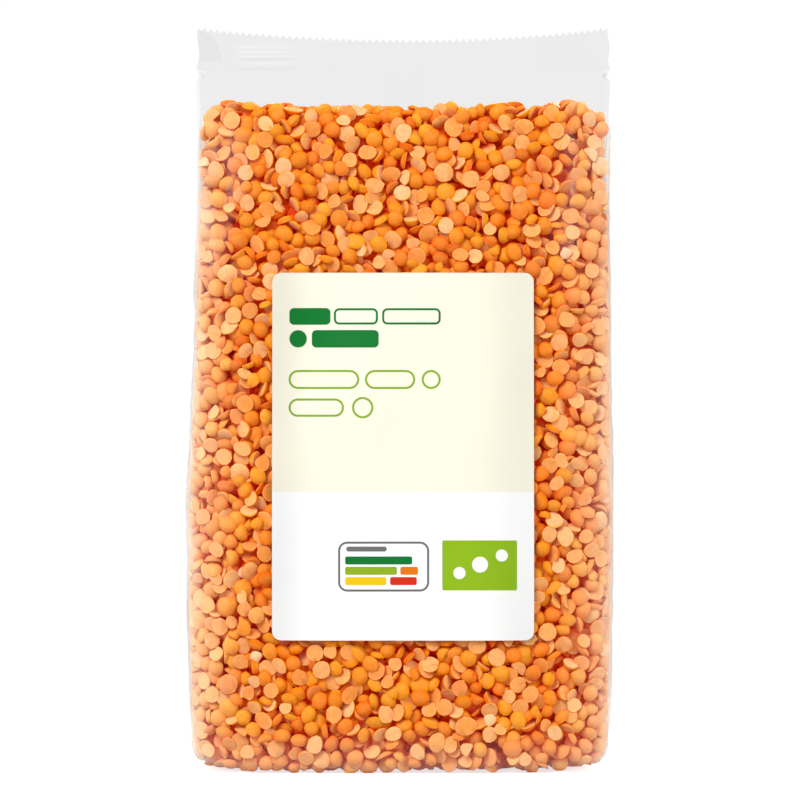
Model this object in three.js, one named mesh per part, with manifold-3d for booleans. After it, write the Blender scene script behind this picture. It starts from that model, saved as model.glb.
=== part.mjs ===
// A clear side-gusset bag of split lentils, standing on its own folded base. Millimetres.
// +Z is up, the labelled front faces -Y, and the origin is the middle of the base.
import * as THREE from "three";
import { mergeVertices } from "three/addons/utils/BufferGeometryUtils.js";
import Module from "manifold-3d";

const wasm = await Module();
wasm.setup();

const { clamp, lerp, smoothstep } = THREE.MathUtils;

// Half width of the bag: straight sides that swell a little low down.
const WAIST = 54.3;
const BELLY = 2.4;
const BELLY_HEIGHT = 60;
const BELLY_SPREAD = 62;

// Half depth: full low down, thinner up to the shoulder, then closing to the seal.
const FULL_DEPTH = 19.5;
const FULL_BELOW = 45;
const SHOULDER_HEIGHT = 172;
const SHOULDER_DEPTH = 11.9;
const THINNING_POWER = 1.7;
const CLOSING_POWER = 1.5;
const FOLDED_DEPTH = 0.3; // what is left of it where the films meet

// How square the outline is, seen from above, where the bag is full and at the shoulder.
const FULL_SQUARENESS = 4;
const TOP_SQUARENESS = 8;
const SQUARING_START = 90;

// The foot: rounded walls, a flat middle and corners that stand a little off the floor.
const FOOT_RADIUS = 6;
const FOOT_FLAT = 28; // flat this far either side of the middle
const FOOT_LIFT = 1.3;
const FOOT_LIFT_FADE = 20; // height above which the lift no longer shows
const FOOT_DEPTH_SHARE = 0.8; // rounding of the front and back against that of the sides

// The gusset: the middle of each side panel folds inwards as the front and back close.
const TUCK = 15;
const TUCK_START = 105;
const TUCK_POWER = 2.6; // how late the fold deepens on the way up
const TUCK_SHARPNESS = 1.6; // how close the fold keeps to the middle of the panel
const TUCK_END = 3; // the fold runs out over this height below the seal

// Slow unevenness of the film, as [size, length across, length up, shift].
const BROAD_LUMPS = [0.35, 10.5, 14.5, 1.1];
const NARROW_LUMPS = [0.2, 6.3, 9.2, 2];
const LUMPS_FROM = [4, 26];
const LUMPS_TO = [160, 178];

// The top seal, a flat band with a pinked edge.
const SEAL_FOOT = 186.5;
const SEAL_LAP = 1; // how far the band and the body reach into each other
const SEAL_THICK = 0.8;
const SEAL_HALF_WIDTH = 55.2;
const TOP_MIDDLE = 194.2;
const TOP_RISE = 3.2; // the ends of the top edge stand this much above its middle
const TEETH = 62;
const TOOTH = 1.1;
const SEAL_WAVE = 0.8; // sideways waviness of the top edge
const SEAL_WAVE_LENGTH = 108;

// The lap seal down the back.
const BACK_LAP_WIDTH = 11;
const BACK_LAP_THICK = 0.5;
const BACK_LAP_FOOT = 9;

// The label on the front.
const LABEL_WIDTH = 68.8;
const LABEL_HEIGHT = 96.6;
const LABEL_MIDDLE_X = 0.8;
const LABEL_MIDDLE_Z = 83.6;
const LABEL_CORNER = 2.4;
const LABEL_THICK = 0.35;
const LABEL_GAP = 0.3;

// Fineness of the meshes.
const HALF_COLUMNS = 36;
const WALL_ROWS = 28;
const FOOT_ROWS = 4;
const ROOF_ROWS = 6;
const TRACE_STEPS = 240;
const BACK_LAP_ROWS = 24;
const BACK_LAP_COLUMNS = 2;
const LABEL_ROWS = 14;
const LABEL_COLUMNS = 10;
const LABEL_CORNER_STEPS = 4;

const steps = (from, to, count) =>
  Array.from({ length: count + 1 }, (_, i) => lerp(from, to, i / count));

function halfWidth(z) {
  const swell = BELLY * Math.exp(-(((z - BELLY_HEIGHT) / BELLY_SPREAD) ** 2));
  const flare = (SEAL_HALF_WIDTH - WAIST) * smoothstep(z, SHOULDER_HEIGHT, SEAL_FOOT);
  return WAIST + swell + flare;
}

function halfDepth(z) {
  const upWall = clamp((z - FULL_BELOW) / (SHOULDER_HEIGHT - FULL_BELOW), 0, 1);
  const upRoof = clamp((z - SHOULDER_HEIGHT) / (SEAL_FOOT - SHOULDER_HEIGHT), 0, 1);
  const wall = lerp(FULL_DEPTH, SHOULDER_DEPTH, upWall ** THINNING_POWER);
  return Math.max(wall * (1 - upRoof ** CLOSING_POWER), FOLDED_DEPTH);
}

function squareness(z) {
  return lerp(FULL_SQUARENESS, TOP_SQUARENESS, smoothstep(z, SQUARING_START, SHOULDER_HEIGHT));
}

function tuck(z) {
  const up = clamp((z - TUCK_START) / (SEAL_FOOT - TUCK_START), 0, 1);
  return TUCK * up ** TUCK_POWER * (1 - smoothstep(z, SEAL_FOOT - TUCK_END, SEAL_FOOT));
}

// How much the rounding of the foot draws the outline in at this height.
function footInset(z) {
  const up = clamp(z / FOOT_RADIUS, 0, 1);
  return FOOT_RADIUS * (1 - Math.sqrt(1 - (1 - up) ** 2));
}

function footLift(x, z) {
  const outwards = clamp((Math.abs(x) - FOOT_FLAT) / (WAIST - FOOT_FLAT), 0, 1);
  return FOOT_LIFT * outwards ** 2 * clamp(1 - z / FOOT_LIFT_FADE, 0, 1);
}

// How far loose lentils press the film out; side is 1 at the front and -1 at the back.
function lumps(x, z, side) {
  const kept = smoothstep(z, ...LUMPS_FROM) * (1 - smoothstep(z, ...LUMPS_TO));
  const [broad, broadX, broadZ, broadShift] = BROAD_LUMPS;
  const [narrow, narrowX, narrowZ, narrowShift] = NARROW_LUMPS;
  const slow = broad * Math.sin(x / broadX + broadShift * side) * Math.sin(z / broadZ);
  return kept * (slow + narrow * Math.sin(x / narrowX - z / narrowZ + narrowShift * side));
}

// The front half of the outline at one height, from the left edge to the right, in fine steps.
function tracedOutline(z) {
  const wide = halfWidth(z) - footInset(z);
  const deep = halfDepth(z) - footInset(z) * FOOT_DEPTH_SHARE;
  const power = 2 / squareness(z);
  const traced = [];
  for (const turn of steps(0, Math.PI, TRACE_STEPS)) {
    const across = Math.abs(Math.cos(turn)) ** power;
    const forward = Math.max(Math.sin(turn), 0) ** power;
    const drawnIn = (tuck(z) / wide) * (1 - forward) ** TUCK_SHARPNESS;
    traced.push([-Math.sign(Math.cos(turn)) * (across - drawnIn * across), -forward * deep]);
  }
  // The fold draws the corners in too, so the outline is stretched back to its width.
  const widest = Math.max(...traced.map(([x]) => Math.abs(x)));
  return traced.map(([x, y]) => [(x * wide) / widest, y]);
}

// The same half outline with its points at even distances along it.
function frontOutline(z) {
  const traced = tracedOutline(z);
  const along = [0];
  for (let i = 1; i <= TRACE_STEPS; i++) {
    const [dx, dy] = [0, 1].map((k) => traced[i][k] - traced[i - 1][k]);
    along.push(along[i - 1] + Math.hypot(dx, dy));
  }
  let at = 0;
  const outline = steps(0, along[TRACE_STEPS], HALF_COLUMNS).map((target) => {
    while (at < TRACE_STEPS - 1 && along[at + 1] < target) at++;
    const share = clamp((target - along[at]) / (along[at + 1] - along[at]), 0, 1);
    return [0, 1].map((k) => lerp(traced[at][k], traced[at + 1][k], share));
  });
  outline[0][1] = 0;
  outline[HALF_COLUMNS][1] = 0;
  return outline;
}

// The whole outline as points: along the front from left to right, then along the back.
function ring(z) {
  const front = frontOutline(z);
  const place = ([x, y], side) => {
    const facing = clamp(-y / (halfDepth(z) / 2), 0, 1);
    return [x, side * (y - lumps(x, z, side) * facing), z + footLift(x, z)];
  };
  const back = front.slice(1, -1).reverse();
  return [...front.map((p) => place(p, 1)), ...back.map((p) => place(p, -1))];
}

function solidFrom(positions, triangles) {
  const geometry = new THREE.BufferGeometry();
  geometry.setAttribute("position", new THREE.Float32BufferAttribute(positions, 3));
  geometry.setIndex(triangles);
  const merged = mergeVertices(geometry, 1e-4);
  const mesh = new wasm.Mesh({
    numProp: 3,
    vertProperties: merged.attributes.position.array,
    triVerts: new Uint32Array(merged.index.array),
  });
  return new wasm.Manifold(mesh);
}

// A closed solid from rings of equal length, capped by strips that run from front to back.
function skin(rings) {
  const columns = rings[0].length;
  const triangles = [];
  for (let r = 0; r + 1 < rings.length; r++) {
    for (let i = 0; i < columns; i++) {
      const [a, b] = [r * columns + i, r * columns + ((i + 1) % columns)];
      triangles.push(a, b, b + columns, a, b + columns, a + columns);
    }
  }
  const cap = (start, upwards) => {
    for (let i = 0; i < columns / 2; i++) {
      const [a, b] = [start + i, start + i + 1];
      const [c, d] = [start + columns - i - 1, start + ((columns - i) % columns)];
      const corners = [[a, c, b], [a, d, c]].filter((t) => new Set(t).size === 3);
      corners.forEach((t) => triangles.push(...(upwards ? [t[0], t[2], t[1]] : t)));
    }
  };
  cap(0, false);
  cap((rings.length - 1) * columns, true);
  return solidFrom(rings.flat(2), triangles);
}

// A thin plate between an outer and an inner sheet, both given as rows of points.
function plate(outer, inner) {
  const [rows, columns] = [outer.length, outer[0].length];
  const size = rows * columns;
  const triangles = [];
  const quad = (a, b, c, d) => triangles.push(a, b, c, a, c, d);
  for (let r = 0; r + 1 < rows; r++) {
    for (let c = 0; c + 1 < columns; c++) {
      const at = r * columns + c;
      quad(at, at + 1, at + columns + 1, at + columns);
      quad(size + at, size + at + columns, size + at + columns + 1, size + at + 1);
    }
  }
  const edge = [];
  for (let c = 0; c < columns - 1; c++) edge.push(c);
  for (let r = 0; r < rows - 1; r++) edge.push(r * columns + columns - 1);
  for (let c = columns - 1; c > 0; c--) edge.push((rows - 1) * columns + c);
  for (let r = rows - 1; r > 0; r--) edge.push(r * columns);
  edge.forEach((a, i) => {
    const b = edge[(i + 1) % edge.length];
    quad(a, size + a, size + b, b);
  });
  return solidFrom([...outer.flat(2), ...inner.flat(2)], triangles);
}

function bagBody() {
  const quarter = Math.PI / 2;
  const foot = steps(0, quarter, FOOT_ROWS).map((turn) => FOOT_RADIUS * (1 - Math.cos(turn)));
  const wall = steps(FOOT_RADIUS, SHOULDER_HEIGHT, WALL_ROWS).slice(1);
  const roofHeight = SEAL_FOOT - SHOULDER_HEIGHT;
  const roof = steps(0, quarter, ROOF_ROWS).map((turn) => SHOULDER_HEIGHT + roofHeight * Math.sin(turn));
  return skin([...foot, ...wall, ...roof.slice(1), SEAL_FOOT + SEAL_LAP].map(ring));
}

function topSeal() {
  const columns = 2 * TEETH;
  const sheet = (side) =>
    [0, 0.25, 1].map((up) =>
      steps(-1, 1, columns).map((across, c) => {
        const x = across * SEAL_HALF_WIDTH;
        const tooth = up === 1 ? TOOTH * ((c % 2) - 0.5) : 0;
        const top = TOP_MIDDLE + TOP_RISE * across ** 2 + tooth;
        const wave = up === 1 ? SEAL_WAVE * Math.sin((2 * Math.PI * x) / SEAL_WAVE_LENGTH) : 0;
        return [x, wave - (side * SEAL_THICK) / 2, lerp(SEAL_FOOT - SEAL_LAP, top, up)];
      }),
    );
  return plate(sheet(1), sheet(-1));
}

// The y of the front film (side 1) or the back film (side -1) at a point of the wall.
function wallAt(x, z, side) {
  const across = clamp(Math.abs(x) / halfWidth(z), 0, 1);
  const power = squareness(z);
  const deep = halfDepth(z) * (1 - across ** power) ** (1 / power);
  return -side * (deep + lumps(x, z, side));
}

function backLap() {
  const sheet = (out) =>
    steps(BACK_LAP_FOOT, SEAL_FOOT, BACK_LAP_ROWS).map((z) =>
      steps(BACK_LAP_WIDTH / 2, -BACK_LAP_WIDTH / 2, BACK_LAP_COLUMNS).map((x) => [
        x,
        wallAt(x, z, -1) + out,
        z,
      ]),
    );
  return plate(sheet(BACK_LAP_THICK), sheet(-BACK_LAP_THICK));
}

// Half the label's height at a distance across from its middle, so that its corners are round.
function labelHalf(across) {
  const beyond = clamp(Math.abs(across) - (LABEL_WIDTH / 2 - LABEL_CORNER), 0, LABEL_CORNER);
  return LABEL_HEIGHT / 2 - LABEL_CORNER + Math.sqrt(LABEL_CORNER ** 2 - beyond ** 2);
}

function label() {
  const straight = LABEL_WIDTH / 2 - LABEL_CORNER;
  const turns = steps(0, Math.PI / 2, LABEL_CORNER_STEPS).slice(1);
  const corner = turns.map((turn) => straight + LABEL_CORNER * Math.sin(turn));
  const middle = steps(-straight, straight, LABEL_COLUMNS);
  const across = [...corner.map((x) => -x).reverse(), ...middle, ...corner];
  const sheet = (out) =>
    steps(-1, 1, LABEL_ROWS).map((up) =>
      across.map((u) => {
        const [x, z] = [LABEL_MIDDLE_X + u, LABEL_MIDDLE_Z + up * labelHalf(u)];
        return [x, wallAt(x, z, 1) - out, z];
      }),
    );
  return plate(sheet(LABEL_GAP + LABEL_THICK), sheet(LABEL_GAP));
}

// A named mesh with its own finish from a finished solid.
function meshOf(name, solid, finish) {
  const made = solid.getMesh();
  const geometry = new THREE.BufferGeometry();
  geometry.setAttribute("position", new THREE.BufferAttribute(made.vertProperties, 3));
  geometry.setIndex(new THREE.BufferAttribute(made.triVerts, 1));
  const flat = geometry.toNonIndexed();
  flat.computeVertexNormals();
  const mesh = new THREE.Mesh(flat, new THREE.MeshStandardMaterial(finish));
  mesh.name = name;
  return mesh;
}

const bag = new THREE.Group();
const sealedBag = bagBody().add(topSeal()).add(backLap());
bag.add(meshOf("bag", sealedBag, { color: 0xf29a4a, roughness: 0.35, metalness: 0 }));
bag.add(meshOf("label", label(), { color: 0xfdfae6, roughness: 0.55, metalness: 0 }));

export default bag;
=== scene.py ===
import math

import bmesh
import bpy
import numpy as np
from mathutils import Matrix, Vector


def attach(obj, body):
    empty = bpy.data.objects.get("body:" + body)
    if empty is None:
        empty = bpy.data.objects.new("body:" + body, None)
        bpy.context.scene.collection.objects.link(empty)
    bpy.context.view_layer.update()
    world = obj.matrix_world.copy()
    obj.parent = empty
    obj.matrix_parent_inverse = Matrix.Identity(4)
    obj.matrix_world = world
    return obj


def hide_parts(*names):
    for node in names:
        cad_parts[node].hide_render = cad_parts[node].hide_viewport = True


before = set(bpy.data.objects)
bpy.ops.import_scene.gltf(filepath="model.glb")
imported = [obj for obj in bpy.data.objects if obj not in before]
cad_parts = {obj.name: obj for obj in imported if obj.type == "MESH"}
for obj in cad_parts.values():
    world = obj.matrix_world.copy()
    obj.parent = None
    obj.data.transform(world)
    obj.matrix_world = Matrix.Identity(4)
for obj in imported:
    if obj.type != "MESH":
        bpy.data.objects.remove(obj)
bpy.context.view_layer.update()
mm = 0.001

# The bag's shape in millimetres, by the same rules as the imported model
bag = {
    "waist": 54.3, "belly": 2.4, "bellyHeight": 60, "bellySpread": 62,
    "fullDepth": 19.5, "fullBelow": 45, "thinningPower": 1.7,
    "shoulderHeight": 172, "shoulderDepth": 11.9, "closingPower": 1.5, "foldedDepth": 0.3,
    "fullSquareness": 4, "topSquareness": 8, "squaringStart": 90,
    "footRadius": 6, "footFlat": 28, "footLift": 1.3, "footLiftFade": 20, "footDepthShare": 0.8,
    "tuck": 15, "tuckStart": 105, "tuckPower": 2.6, "tuckSharpness": 1.6, "tuckEnd": 3,
    "broadLumps": (0.35, 10.5, 14.5, 1.1), "narrowLumps": (0.2, 6.3, 9.2, 2),
    "lumpsFrom": (4, 26), "lumpsTo": (160, 178),
    "sealFoot": 186.5, "sealHalfWidth": 55.2,
    "topMiddle": 194.2, "topRise": 3.2, "teeth": 62, "tooth": 0.95,
    "sealWave": 0.8, "sealWaveLength": 108,
    "lean": 0.9, "leanFrom": 60, "leanTo": 140,
}


def lerp(a, b, t):
    return a + (b - a) * t


def smoothstep(x, low, high):
    t = np.clip((x - low) / (high - low), 0, 1)
    return t * t * (3 - 2 * t)


def softNoise(x, y, z, size, seed, waves=9):
    # Smooth unevenness between about -1 and 1, made of waves in seeded directions
    draw = np.random.default_rng(seed)
    total = 0
    for _ in range(waves):
        direction = draw.normal(size=3)
        direction *= 2 * math.pi / size / np.linalg.norm(direction) * draw.uniform(0.6, 1.4)
        total = total + np.sin(x * direction[0] + y * direction[1] + z * direction[2] + draw.uniform(0, 7))
    return total / math.sqrt(waves)


def halfWidth(z):
    swell = bag["belly"] * np.exp(-(((z - bag["bellyHeight"]) / bag["bellySpread"]) ** 2))
    flare = smoothstep(z, bag["shoulderHeight"], bag["sealFoot"])
    return bag["waist"] + swell + (bag["sealHalfWidth"] - bag["waist"]) * flare


def halfDepth(z):
    upWall = np.clip((z - bag["fullBelow"]) / (bag["shoulderHeight"] - bag["fullBelow"]), 0, 1)
    upRoof = np.clip((z - bag["shoulderHeight"]) / (bag["sealFoot"] - bag["shoulderHeight"]), 0, 1)
    wall = lerp(bag["fullDepth"], bag["shoulderDepth"], upWall ** bag["thinningPower"])
    return np.maximum(wall * (1 - upRoof ** bag["closingPower"]), bag["foldedDepth"])


def squareness(z):
    up = smoothstep(z, bag["squaringStart"], bag["shoulderHeight"])
    return lerp(bag["fullSquareness"], bag["topSquareness"], up)


def tuck(z):
    up = np.clip((z - bag["tuckStart"]) / (bag["sealFoot"] - bag["tuckStart"]), 0, 1)
    runOut = smoothstep(z, bag["sealFoot"] - bag["tuckEnd"], bag["sealFoot"])
    return bag["tuck"] * up ** bag["tuckPower"] * (1 - runOut)


def footInset(z):
    up = np.clip(z / bag["footRadius"], 0, 1)
    return bag["footRadius"] * (1 - np.sqrt(1 - (1 - up) ** 2))


def footLift(x, z):
    outwards = np.clip((np.abs(x) - bag["footFlat"]) / (bag["waist"] - bag["footFlat"]), 0, 1)
    return bag["footLift"] * outwards ** 2 * np.clip(1 - z / bag["footLiftFade"], 0, 1)


def lumps(x, z, side):
    kept = smoothstep(z, *bag["lumpsFrom"]) * (1 - smoothstep(z, *bag["lumpsTo"]))
    broad, broadX, broadZ, broadShift = bag["broadLumps"]
    narrow, narrowX, narrowZ, narrowShift = bag["narrowLumps"]
    slow = broad * np.sin(x / broadX + broadShift * side) * np.sin(z / broadZ)
    return kept * (slow + narrow * np.sin(x / narrowX - z / narrowZ + narrowShift * side))


def sideReach(z, forward, inset=0):
    # How far out the side stands, from the middle of its panel (forward 0) to the front (forward 1)
    wide = halfWidth(z) - footInset(z) - inset
    power = squareness(z)

    def shape(f):
        drawnIn = tuck(z) / wide * (1 - f) ** bag["tuckSharpness"]
        return (1 - f ** power) ** (1 / power) * (1 - drawnIn)

    widest = shape(np.linspace(0, 1, 200)).max()
    return wide * shape(forward) / widest


def ring(z, halfColumns, inset=0):
    # The outline at one height: along the front from left to right, then along the back
    turn = np.linspace(0, math.pi, 481)
    forward = np.clip(np.sin(turn), 0, 1) ** (2 / squareness(z))
    deep = halfDepth(z) - footInset(z) * bag["footDepthShare"] - inset
    x = -np.sign(np.cos(turn)) * sideReach(z, forward, inset)
    y = -forward * max(deep, bag["foldedDepth"])
    along = np.concatenate([[0], np.cumsum(np.hypot(np.diff(x), np.diff(y)))])
    even = np.linspace(0, along[-1], halfColumns + 1)
    x, y = np.interp(even, along, x), np.interp(even, along, y)
    y[0] = y[-1] = 0
    facing = np.clip(-y / (halfDepth(z) / 2), 0, 1)
    front = np.stack([x, y - lumps(x, z, 1) * facing], axis=1)
    back = np.stack([x, -y + lumps(x, z, -1) * facing], axis=1)[-2:0:-1]
    flat = np.concatenate([front, back])
    return np.column_stack([flat, z + footLift(flat[:, 0], z)])


def outwardOf(grid):
    # Outward directions of a grid of rings
    across = np.roll(grid, -1, axis=1) - np.roll(grid, 1, axis=1)
    upwards = np.gradient(grid, axis=0)
    direction = np.cross(across, upwards)
    return direction / np.maximum(np.linalg.norm(direction, axis=2, keepdims=True), 1e-9)


def wallAt(x, z, side):
    # Where the front film (side 1) or the back film (side -1) stands
    power = squareness(z)
    across = np.clip(np.abs(x) / halfWidth(z), 0, 1)
    return -side * (halfDepth(z) * (1 - across ** power) ** (1 / power) + lumps(x, z, side))


def leanAt(z):
    # The slack upper part of the bag stands a little to the right
    return bag["lean"] * smoothstep(z, bag["leanFrom"], bag["leanTo"])


def pieceFrom(name, points, faces, smooth=True, leans=True):
    mesh = bpy.data.meshes.new(name)
    points = np.array(points, float)
    if leans:
        points[:, 0] += leanAt(points[:, 2])
    mesh.from_pydata((points * mm).tolist(), [], [tuple(int(i) for i in f) for f in faces])
    mesh.shade_smooth() if smooth else mesh.shade_flat()
    piece = bpy.data.objects.new(name, mesh)
    bpy.context.scene.collection.objects.link(piece)
    return piece


def tubeFaces(rows, columns):
    # Faces of a closed skin of rings, with a strip from front to back over each end
    faces = []
    for r in range(rows - 1):
        for i in range(columns):
            a, b = r * columns + i, r * columns + (i + 1) % columns
            faces.append((a, b, b + columns, a + columns))
    for start, upwards in ((0, False), ((rows - 1) * columns, True)):
        for i in range(columns // 2):
            strip = [start + i, start + i + 1, start + columns - i - 1, start + (columns - i) % columns]
            strip = list(dict.fromkeys(strip))
            faces.append(strip if upwards else strip[::-1])
    return faces


def plateFaces(rows, columns):
    # Faces of a thin plate between an outer and an inner grid, stored one after the other
    size = rows * columns
    faces = []
    for r in range(rows - 1):
        for c in range(columns - 1):
            a = r * columns + c
            faces.append((a, a + 1, a + columns + 1, a + columns))
            faces.append((size + a, size + a + columns, size + a + columns + 1, size + a + 1))
    edge = list(range(columns - 1))
    edge += [r * columns + columns - 1 for r in range(rows - 1)]
    edge += [(rows - 1) * columns + c for c in range(columns - 1, 0, -1)]
    edge += [r * columns for r in range(rows - 1, 0, -1)]
    for a, b in zip(edge, edge[1:] + edge[:1]):
        faces.append((a, size + a, size + b, b))
    return faces


def platesFrom(name, sheets, leans=True):
    # One piece from thin plates, each an outer and an inner grid and the number of its material
    points, faces, numbers = np.empty((0, 3)), [], []
    for outer, inner, number in sheets:
        start = len(points)
        faces += [[start + i for i in face] for face in plateFaces(*outer.shape[:2])]
        numbers += [number] * (len(faces) - len(numbers))
        points = np.concatenate([points, outer.reshape(-1, 3), inner.reshape(-1, 3)])
    piece = pieceFrom(name, points, faces, leans=leans)
    piece.data.polygons.foreach_set("material_index", numbers)
    work = bmesh.new()
    work.from_mesh(piece.data)
    bmesh.ops.remove_doubles(work, verts=work.verts, dist=0.002 * mm)
    work.to_mesh(piece.data)
    work.free()
    piece.data.set_sharp_from_angle(angle=math.radians(50))
    return piece


def storeVectors(piece, name, values):
    piece.data.attributes.new(name, "FLOAT_VECTOR", "POINT").data.foreach_set("vector", values.ravel())


def storeValues(piece, name, values):
    piece.data.attributes.new(name, "FLOAT", "POINT").data.foreach_set("value", values.ravel())


def finishPiece(piece, material, node):
    if material is not None:
        piece.data.materials.append(material)
    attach(piece, "root")
    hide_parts(node)


# Camera: level with the middle of the bag and square to its front
view = {"distance": 1150, "height": 98.4, "frameWidth": 213.6, "sensor": 36, "clip": (0.05, 20)}


def makeCamera():
    data = bpy.data.cameras.new("photoView")
    data.sensor_width = view["sensor"]
    data.lens = view["sensor"] * view["distance"] / view["frameWidth"]
    data.clip_start, data.clip_end = view["clip"]
    camera = bpy.data.objects.new("photoView", data)
    camera.location = (0, -view["distance"] * mm, view["height"] * mm)
    camera.rotation_euler = (math.pi / 2, 0, 0)
    bpy.context.scene.collection.objects.link(camera)
    bpy.context.scene.camera = camera


def link(tree, source, target):
    tree.links.new(source, target)


def addNode(tree, kind, values=None, **settings):
    # A node with its settings, and with a link or a plain value at each input that is named
    node = tree.nodes.new(kind)
    for name, value in settings.items():
        setattr(node, name, value)
    for name, value in (values or {}).items():
        if isinstance(value, bpy.types.NodeSocket):
            link(tree, value, node.inputs[name])
        elif value is not None:
            node.inputs[name].default_value = value
    return node


def maths(tree, operation, a, b=None, clamp=False):
    return addNode(tree, "ShaderNodeMath", {0: a, 1: b}, operation=operation, use_clamp=clamp).outputs[0]


def rampOf(tree, source, low, high, fromLow=0.0, fromHigh=1.0):
    values = {"Value": source, "From Min": fromLow, "From Max": fromHigh, "To Min": low, "To Max": high}
    return addNode(tree, "ShaderNodeMapRange", values, interpolation_type="SMOOTHSTEP").outputs["Result"]


def fade(tree, source, low, high, span):
    # From low to high over a span in millimetres
    return rampOf(tree, source, low, high, *[v * mm for v in span])


def times(tree, a, b):
    return maths(tree, "MULTIPLY", a, b)


def axesOf(tree, vector):
    return addNode(tree, "ShaderNodeSeparateXYZ", {0: vector}).outputs


def attributeOf(tree, name, output="Fac"):
    return addNode(tree, "ShaderNodeAttribute", attribute_name=name).outputs[output]


def stretchedNoise(tree, vector, stretch, detail):
    stretched = addNode(tree, "ShaderNodeVectorMath", {0: vector, 1: stretch}, operation="MULTIPLY")
    values = {"Vector": stretched.outputs[0], "Scale": 1.0, "Detail": detail}
    return addNode(tree, "ShaderNodeTexNoise", values).outputs["Fac"]


def mixShaders(tree, factor, a, b):
    return addNode(tree, "ShaderNodeMixShader", {0: factor, 1: a, 2: b}).outputs[0]


def solidBody(tree, out, colour, height, strength, distance, values, invert=False):
    # A solid's surface from its colour, its relief and its other values
    relief = {"Height": height, "Strength": strength, "Distance": distance}
    normal = addNode(tree, "ShaderNodeBump", relief, invert=invert).outputs["Normal"]
    body = addNode(tree, "ShaderNodeBsdfPrincipled", {"Base Color": colour, "Normal": normal, **values})
    link(tree, body.outputs[0], out.inputs["Surface"])


def mixColours(tree, factor, a, b, blend="MIX"):
    values = {0: factor, 6: a, 7: b}
    return addNode(tree, "ShaderNodeMix", values, data_type="RGBA", blend_type=blend).outputs[2]


def colourRamp(tree, source, stops):
    node = addNode(tree, "ShaderNodeValToRGB", {"Fac": source})
    ramp = node.color_ramp
    while len(ramp.elements) < len(stops):
        ramp.elements.new(0.5)
    for element, (position, colour) in zip(ramp.elements, stops):
        element.position = position
        element.color = (*colour, 1)
    return node.outputs["Color"]


def newMaterial(name):
    material = bpy.data.materials.new(name)
    material.use_nodes = True
    tree = material.node_tree
    tree.nodes.clear()
    return material, tree, addNode(tree, "ShaderNodeOutputMaterial")


def newGroup(name, inputs, output):
    # A group of shader nodes with inputs as (name, kind, value) and one output
    group = bpy.data.node_groups.new(name, "ShaderNodeTree")
    for socketName, kind, value in inputs:
        socket = group.interface.new_socket(socketName, in_out="INPUT", socket_type=kind)
        if value is not None:
            socket.default_value = value
    group.interface.new_socket(output, in_out="OUTPUT", socket_type="NodeSocketFloat")
    return group, addNode(group, "NodeGroupInput").outputs, addNode(group, "NodeGroupOutput").inputs


def makeMottle():
    # Fine blotches and specks, as a value around 0.5; used on lentils, paper and ink
    inputs = [("Vector", "NodeSocketVector", None), ("Blotch size", "NodeSocketFloat", 1000.0),
              ("Speck size", "NodeSocketFloat", 4000.0)]
    group, given, out = newGroup("mottle", inputs, "Value")
    mixed = []
    for size, detail, share in (("Blotch size", 2.0, 0.7), ("Speck size", 1.0, 0.3)):
        values = {"Vector": given["Vector"], "Scale": given[size], "Detail": detail}
        mixed.append(times(group, addNode(group, "ShaderNodeTexNoise", values).outputs["Fac"], share))
    link(group, maths(group, "ADD", *mixed), out["Value"])
    return group


def makeCreases():
    # Long soft creases of a thin film, as a mask; used on every film piece
    inputs = [("Vector", "NodeSocketVector", None), ("Scale", "NodeSocketFloat", 60.0),
              ("Stretch", "NodeSocketVector", (1.0, 1.0, 0.25)), ("Sharpness", "NodeSocketFloat", 0.06)]
    group, given, out = newGroup("filmCreases", inputs, "Mask")
    values = {0: given["Vector"], 1: given["Stretch"]}
    stretched = addNode(group, "ShaderNodeVectorMath", values, operation="MULTIPLY").outputs[0]
    values = {"Vector": stretched, "Scale": given["Scale"], "Detail": 2.0, "Distortion": 0.6}
    noise = addNode(group, "ShaderNodeTexNoise", values).outputs["Fac"]
    away = maths(group, "ABSOLUTE", maths(group, "SUBTRACT", noise, 0.5))
    near = maths(group, "SUBTRACT", 1.0, maths(group, "DIVIDE", away, given["Sharpness"]), clamp=True)
    link(group, maths(group, "POWER", near, 2.0), out["Mask"])
    return group


mottle = makeMottle()
mottleSpan = (0.3, 0.7)
creases = makeCreases()


def placeGroup(tree, group, vector, **values):
    named = {name.replace("_", " "): value for name, value in values.items()}
    return addNode(tree, "ShaderNodeGroup", {"Vector": vector, **named}, node_tree=group).outputs[0]


def objectPlace(tree):
    return addNode(tree, "ShaderNodeTexCoord").outputs["Object"]


# Clear film: see-through face on, milky where it turns away, greyer where two films lie together
filmLook = {
    "edge": 0.72, "edgePower": 1.75, "roofVeil": 0.03, "roofFrom": (164, 173),
    "paintedShoulderSheen": 0.07, "shoulderAcross": (36, 52), "shoulderUp": (112, 152),
    # Painted sheen: milky streaks over the upper corners and a milky film at the foot
    "streakScale": (130.0, 90.0, 38.0), "streakAmount": (0.1, 2.6), "streakEdge": (0.4, 0.62),
    "paintedFootSheen": 0.05, "footFrom": (12, 3), "footClear": 0.8, "creaseHaze": 0.4, "creaseScale": 55.0,
    "levelVeil": 0.06, "levelFrom": (0.6, 0.92), "shadowShare": 0.15,
    "milk": (0.76, 0.75, 0.70, 1), "roughness": 0.3, "shine": 0.25,
}


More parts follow.
